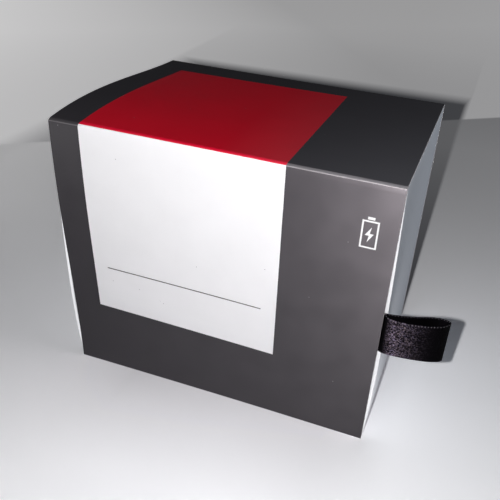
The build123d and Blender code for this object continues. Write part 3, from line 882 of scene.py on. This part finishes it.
def make_battery():
    """A generic battery sign in white ink at the front's right: an outline and a bolt."""
    mesh = bmesh.new()
    x, z = battery_centre
    wide, tall = battery_size[0] / 2, battery_size[1] / 2
    inner_wide, inner_tall = wide - battery_line, tall - battery_line
    cap_wide = battery_cap[0] / 2
    cap_low = tall + battery_cap_gap
    front = -half_depth
    raised = front - ink_thickness
    for left, low, right, high in (
        (-wide, -tall, -inner_wide, tall),
        (inner_wide, -tall, wide, tall),
        (-inner_wide, -tall, inner_wide, -inner_tall),
        (-inner_wide, inner_tall, inner_wide, tall),
        (-cap_wide, cap_low, cap_wide, cap_low + battery_cap[1]),
    ):
        block(mesh, (x + left, raised, z + low), (x + right, front, z + high))
    bolt = [(0.5, 2.7), (-1.4, -0.35), (-0.1, -0.35), (-0.5, -2.7), (1.4, 0.35), (0.1, 0.35)]
    verts = [mesh.verts.new(Vector((x + a, raised, z + b)) * mm) for a, b in bolt]
    face = mesh.faces.new(verts)
    made = bmesh.ops.extrude_face_region(mesh, geom=[face])["geom"]
    lifted = [part for part in made if isinstance(part, bmesh.types.BMVert)]
    bmesh.ops.translate(mesh, vec=(0, ink_thickness * mm, 0), verts=lifted)
    bmesh.ops.recalc_face_normals(mesh, faces=mesh.faces)
    make_piece("battery_sign", mesh, "sleeve", [white_ink()])


def bowed(place):
    """Where a point of the square tray goes when its end walls bow out at their rims.

    The arch's 4 brings its tallest place to 1."""
    x, y, z = place / mm
    depth = (tray_high[1] - y) / (tray_high[1] - tray_low[1])
    up = (z - tray_low[2]) / (tray_high[2] - tray_low[2])
    sag = right_bow_sag if x > 0 else 1
    arch = 4 * up**sag * (1 - up**sag)
    end = abs(x) / tray_high[0]
    right = right_bow * arch**right_bow_fullness
    bow = right if x > 0 else -left_bow * arch**left_bow_fullness
    return Vector((x + bow * depth * end, y, z)) * mm


def make_tray():
    """The drawer tray: folded white card with rounded rims, its end walls bowed out."""
    mesh = bmesh.new()
    block(mesh, tray_low, tray_high)
    front = [face for face in mesh.faces if face.normal.y < -0.5]
    bmesh.ops.delete(mesh, geom=front, context="FACES_ONLY")
    folds = [edge for edge in mesh.edges if len(edge.link_faces) == 2]
    round_off(mesh, folds, tray_fold, 3)
    slice_up(mesh, 2, steps(tray_low[2], tray_high[2], 4))
    slice_up(mesh, 1, steps(tray_low[1], tray_high[1], 10))
    slice_up(mesh, 0, tray_cuts)
    for vert in mesh.verts:
        vert.co = bowed(vert.co)
    white = coated_card()
    piece = make_piece("card_tray", mesh, "drawer", [white], ["tray"])
    thicken(piece, tray_board)
    rims = piece.modifiers.new("rounded rims", "BEVEL")
    rims.width = tray_rim * mm
    rims.segments = 3
    rims.limit_method = "ANGLE"
    rims.angle_limit = radians(50)
    return piece


def smooth_line(points, samples):
    """A smooth line through points, with this many samples between neighbours."""
    line = [points[0]]
    for i in range(len(points) - 1):
        before = points[max(i - 1, 0)]
        start, end = points[i], points[i + 1]
        after = points[min(i + 2, len(points) - 1)]
        span = (end - start).length
        lean_out = (end - before).normalized() * span / 3
        lean_in = (after - start).normalized() * span / 3
        curve = interpolate_bezier(start, start + lean_out, end - lean_in, end, samples + 1)
        line += curve[1:]
    return line


def make_ribbon():
    """The satin ribbon pull: one strip folded into a loop, its tails glued in the tray."""
    samples, rows = 6, 14
    top = [Vector((x, y, ribbon_high)) * mm for x, y, _, _ in ribbon_stations]
    bottom = [Vector((x, y, ribbon_low)) * mm for _, _, x, y in ribbon_stations]
    top, bottom = smooth_line(top, samples), smooth_line(bottom, samples)
    count = len(top)
    mesh = bmesh.new()
    weave = mesh.loops.layers.uv.new("weave")
    bmesh.ops.create_grid(mesh, x_segments=count - 1, y_segments=rows, size=0.5)
    run = [0.0]
    for i in range(1, count):
        run.append(run[-1] + ((top[i] + bottom[i]) - (top[i - 1] + bottom[i - 1])).length / 2)
    places = {}
    for vert in mesh.verts:
        column = round((vert.co.x + 0.5) * (count - 1))
        share = vert.co.y + 0.5
        places[vert] = (share * (ribbon_high - ribbon_low) * mm, run[column])
        vert.co = bottom[column].lerp(top[column], share)
    for face in mesh.faces:
        for loop in face.loops:
            loop[weave].uv = places[loop.vert]
    body, slot = "drawer", "black_satin"
    piece = make_piece("satin_pull", mesh, body, [satin_ribbon()], ["ribbon_pull"], 180)
    thicken(piece, ribbon_thickness, offset=0)

    # The thread's loops along both woven edges, evenly spaced along the run
    picots = bmesh.new()
    radius = picot_radius * mm
    for edge, inset in ((top, -picot_inset), (bottom, picot_inset)):
        following = 0.0
        for i in range(1, count):
            while following <= run[i]:
                share = (following - run[i - 1]) / max(run[i] - run[i - 1], 1e-9)
                spot = edge[i - 1].lerp(edge[i], share) + Vector((0, 0, inset)) * mm
                following += picot_spacing * mm
                bead = bmesh.ops.create_icosphere(picots, subdivisions=1, radius=radius)
                bmesh.ops.translate(picots, vec=spot, verts=bead["verts"])
    beads = make_piece("ribbon_selvedges", picots, body, [ribbon_thread()], (), 180)


def round_rims(mesh, rims, radius, sharp):
    """Rounds the edges that lie at these heights above the charger's foot."""
    chosen = []
    for edge in mesh.edges:
        heights = [charger_foot - vert.co.y / mm for vert in edge.verts]
        level = any(max(abs(height - rim) for height in heights) < 0.01 for rim in rims)
        if level and edge.is_manifold and edge.calc_face_angle(0) > radians(sharp):
            chosen.append(edge)
    round_off(mesh, chosen, radius, 3)


def rounded_copy(node, name, made, rims=(), radius=0.4, sharp=35, corners=0):
    """Stands for a CAD node in its own shape: its flats made whole, and its rims or all of
    its corners rounded."""
    source = frame["nodes"][node]
    mesh = bmesh.new()
    mesh.from_mesh(source.data)
    bmesh.ops.remove_doubles(mesh, verts=mesh.verts, dist=0.001 * mm)
    flats = {"angle_limit": radians(0.3), "verts": mesh.verts, "edges": mesh.edges}
    bmesh.ops.dissolve_limit(mesh, **flats)
    if rims:
        round_rims(mesh, rims, radius, sharp)
    if corners:
        turned = [edge for edge in mesh.edges if edge.calc_face_angle(0) > radians(50)]
        round_off(mesh, turned, corners, 2)
    piece = make_piece(name, mesh, source["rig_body"], [made], [node])
    evened = piece.modifiers.new("even shading", "WEIGHTED_NORMAL")
    evened.keep_sharp = True
    return piece


def lay_down(mesh):
    """Lays what was modelled upright in the charger's place in the tray."""
    turn = Matrix.Rotation(radians(90), 3, "X")
    bmesh.ops.rotate(mesh, cent=(0, 0, 0), matrix=turn, verts=mesh.verts)
    seat = Vector((0, charger_foot, charger_centre)) * mm
    bmesh.ops.translate(mesh, vec=seat, verts=mesh.verts)


def turn_profile(mesh, x, y, profile, count=48):
    """Turns a profile of radii and heights round an upright axis."""
    spots = [mesh.verts.new(Vector((x + r, y, z)) * mm) for r, z in profile]
    edges = [mesh.edges.new(pair) for pair in zip(spots, spots[1:])]
    bmesh.ops.spin(
        mesh,
        geom=spots + edges,
        cent=Vector((x, y, 0)) * mm,
        axis=(0, 0, 1),
        angle=2 * pi,
        steps=count,
        use_merge=True,
    )


def disc(radius, low, high, edge):
    """The profile of a solid disc with rounded edges."""
    turns = [radians(90 * i / 4) for i in range(5)]
    bottom = [(radius - edge * (1 - sin(t)), low + edge * (1 - cos(t))) for t in turns]
    top = [(radius - edge * (1 - cos(t)), high - edge * (1 - sin(t))) for t in turns]
    return [(0, low), *bottom, *top, (0, high)]


def make_turned(node, name, made, points, profile):
    """Stands for a CAD node's round pieces, one turned at each point."""
    mesh = bmesh.new()
    for x, y in points:
        turn_profile(mesh, x, y, profile)
    bmesh.ops.remove_doubles(mesh, verts=mesh.verts, dist=0.001 * mm)
    bmesh.ops.recalc_face_normals(mesh, faces=mesh.faces)
    lay_down(mesh)
    body = frame["nodes"][node]["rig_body"]
    return make_piece(name, mesh, body, [made], [node])


def screw(head_radius, head_low, head_high, radius, low, thread):
    """The profile of a pan-head screw with its thread, its head up or down."""
    step = 1 if head_high > head_low else -1
    rim = head_high - 0.35 * step
    dip = head_high - 0.55 * step
    line = [(0, dip), (0.3, dip), (0.75, head_high), (head_radius - 0.4, head_high)]
    line += [(head_radius - 0.1, rim), (head_radius, rim - 0.3 * step), (head_radius, head_low)]
    line += [(radius, head_low)]
    count = int(abs(low - head_low) / thread)
    for i in range(count):
        at = head_low - step * thread * (i + 0.25)
        line += [(radius, at), (radius - 0.18, at - step * thread * 0.5)]
    return [*line, (radius - 0.3, low), (0, low)]


def make_coils(copper, black):
    """The wound charging coils, turn by turn, and the ferrites that back them."""
    inner, outer = coil_radii
    low, high = coil_heights
    pitch = (outer - inner) / coil_turns
    crests = []
    for i in range(coil_turns):
        start = inner + pitch * i
        crests += [(start + 0.05, high - coil_groove), (start + pitch / 2, high)]
    shoulder = high - coil_groove - 0.05
    line = [(inner, low), (inner, shoulder), *crests, (outer, shoulder), (outer, low)]
    line.append((inner, low))
    for side, word in zip(sides, ("left", "right")):
        points = [(side * well_centre[0], well_centre[1])]
        make_turned("charging_coil_" + word, "wound_coil_" + word, copper, points, line)
        rounded_copy("ferrite_" + word, "ferrite_plate_" + word, black, corners=0.12)


def make_cushions(silicone):
    """The two soft pads under the lid, crowned, and the two grooved pads in the wells."""
    for side, word in zip(sides, ("left", "right")):
        mesh = bmesh.new()
        x, y = side * well_centre[0], well_centre[1]
        wide, long = cushion_size[0] / 2, cushion_size[1] / 2
        block(mesh, (x - wide, y - long, cushion_low), (x + wide, y + long, cushion_high))
        upright = [e for e in mesh.edges if abs(e.verts[0].co.z - e.verts[1].co.z) > mm / 2]
        round_off(mesh, upright, wide - 0.02, 12)
        face = min(mesh.faces, key=lambda each: each.calc_center_median().z)
        round_off(mesh, face.edges[:], cushion_edge, 4)
        face = min(mesh.faces, key=lambda each: each.calc_center_median().z)
        for inset in cushion_insets:
            bmesh.ops.inset_individual(mesh, faces=[face], thickness=inset * mm)
            bmesh.ops.translate(mesh, vec=(0, 0, cushion_step * mm), verts=face.verts)
        lay_down(mesh)
        node = "lid_cushion_" + word
        name, body = "lid_pad_" + word, "charger_lid"
        pad = make_piece(name, mesh, body, [silicone], [node])
        node = "well_liner_" + word
        pad = rounded_copy(node, "well_pad_" + word, silicone)


def make_charger():
    """The charger's pieces: CAD shapes with rounded rims, and turned and wound pieces."""
    white, grey, zinc, nickel = moulded_abs(), soft_touch_paint(), zinc_plate(), nickel_plate()
    rubber, copper, epoxy = foot_rubber(), enamelled_copper(), chip_epoxy()
    rounded_copy("base_shell", "housing_base", white, (base_top,), 0.25)
    rounded_copy("lid_shell", "housing_lid", white, crown_rims, 0.55, 8)
    rounded_copy("deck", "well_deck", grey, (deck_top,), 0.5)
    rounded_copy("lid_liner", "lid_lining", grey, (cushion_high,), 0.4)
    rounded_copy("button_cap", "push_button_cap", button_silicone(), (button_top,), 0.2, 20)
    foam = rounded_copy("insert", "foam_fitment", die_cut_foam(), (insert_top,), 0.6)
    for node, name, made, corners in (
        ("light_guide", "window_guide", clear_acrylic(), 0.12),
        ("usb_c_socket", "power_socket", rolled_stainless(), 0.06),
        ("main_board", "charging_board", circuit_board(), 0.1),
        ("board_chips", "chips_and_inductors", epoxy, 0.12),
        ("status_leds", "status_lamps", lamp_phosphor(), 0.1),
        ("switch_body", "switch_case", epoxy, 0.15),
        ("hinge_pin", "steel_pin", turned_steel(), 0.2),
        ("coil_leads", "copper_leads", copper, 0),
    ):
        rounded_copy(node, name, made, corners=corners)
    make_coils(copper, sintered_ferrite())
    make_cushions(pad_silicone())
    for node, name, made, points, profile in (
        ("rubber_feet", "round_feet", rubber, foot_points, disc(*foot_round)),
        ("base_magnets", "base_magnet_pair", nickel, magnet_points, disc(*base_magnet_round)),
        ("lid_magnets", "lid_magnet_pair", nickel, magnet_points, disc(*lid_magnet_round)),
        ("switch_plunger", "plunger_tip", plunger_nylon(), [button_centre], disc(*plunger_round)),
        ("housing_screws", "case_screws", zinc, foot_points, screw(*case_screw)),
        ("board_screws", "small_screws", zinc, board_points, screw(*small_screw)),
    ):
        make_turned(node, name, made, points, profile)


def make_stage():
    """The table top."""
    mesh = bmesh.new()
    bmesh.ops.create_grid(mesh, x_segments=1, y_segments=1, size=table_reach * mm)
    data = bpy.data.meshes.new("table_top")
    mesh.to_mesh(data)
    mesh.free()
    data.materials.append(pale_floor())
    floor = bpy.data.objects.new("table_top", data)
    bpy.context.scene.collection.objects.link(floor)
    return floor


def make_camera():
    """The camera, where the photograph was taken from."""
    data = bpy.data.cameras.new("camera")
    data.sensor_width = camera_sensor
    data.lens = camera_lens
    data.shift_x, data.shift_y = camera_shift
    data.clip_start = 0.01
    camera = bpy.data.objects.new("camera", data)
    camera.location = Vector(camera_place) * mm
    camera.rotation_euler = [radians(angle) for angle in camera_turn]
    bpy.context.scene.collection.objects.link(camera)
    bpy.context.scene.camera = camera


def make_lamp(name, place, target, size, power):
    """A soft lamp that shines from its place towards a target, and isn't seen itself."""
    data = bpy.data.lights.new(name, "AREA")
    data.shape = "ELLIPSE"
    data.size, data.size_y = size[0] * mm, size[1] * mm
    data.energy = power
    lamp = bpy.data.objects.new(name, data)
    lamp.location = Vector(place) * mm
    aim = Vector(target) * mm - lamp.location
    lamp.rotation_euler = aim.to_track_quat("-Z", "Y").to_euler()
    lamp.visible_camera = False
    bpy.context.scene.collection.objects.link(lamp)
    return lamp


def make_lights(sleeve, tray, table):
    """A lamp beside the camera, cards that only the sleeve's film reflects, light from the
    table on the tray's end, a window and fills that the table doesn't get, and a sky."""
    make_lamp("softbox", lamp_place, lamp_target, (lamp_size, lamp_size), lamp_power)
    glazed = bpy.data.collections.new("cards_light_these")
    glazed.objects.link(sleeve)
    for place, size, power, colour in cards:
        card = make_lamp("white_card", place, card_target, size, power)
        card.data.color = linear(colour)[:3]
        card.visible_diffuse = False
        card.light_linking.receiver_collection = glazed
    bounced = bpy.data.collections.new("bounce_lights_these")
    bounced.objects.link(tray)
    for place, target, power in bounces:
        bounce = make_lamp("table_bounce", place, target, (bounce_size, bounce_size), power)
        bounce.visible_glossy = False
        bounce.light_linking.receiver_collection = bounced
    off_table = bpy.data.collections.new("all_but_the_table")
    off_table.objects.link(table)
    off_table.collection_objects[0].light_linking.link_state = "EXCLUDE"
    for name, place, power, colour in fills:
        fill = make_lamp(name, place, fill_target, (fill_size, fill_size), power)
        fill.data.color = linear(colour)[:3]
        fill.visible_glossy = name == "window"
        fill.light_linking.receiver_collection = off_table
    world = bpy.data.worlds.new("studio")
    world.use_nodes = True
    tree = world.node_tree
    tree.nodes.clear()
    sky = add(tree, "Background", {"Color": "#e6e9f0", "Strength": sky_strength})
    add(tree, "OutputWorld", {"Surface": sky["Background"]})
    bpy.context.scene.world = world


bpy.context.scene.view_settings.view_transform = "Standard"
make_camera()
make_lights(make_sleeve(), make_tray(), make_stage())
make_battery()
make_ribbon()
make_charger()
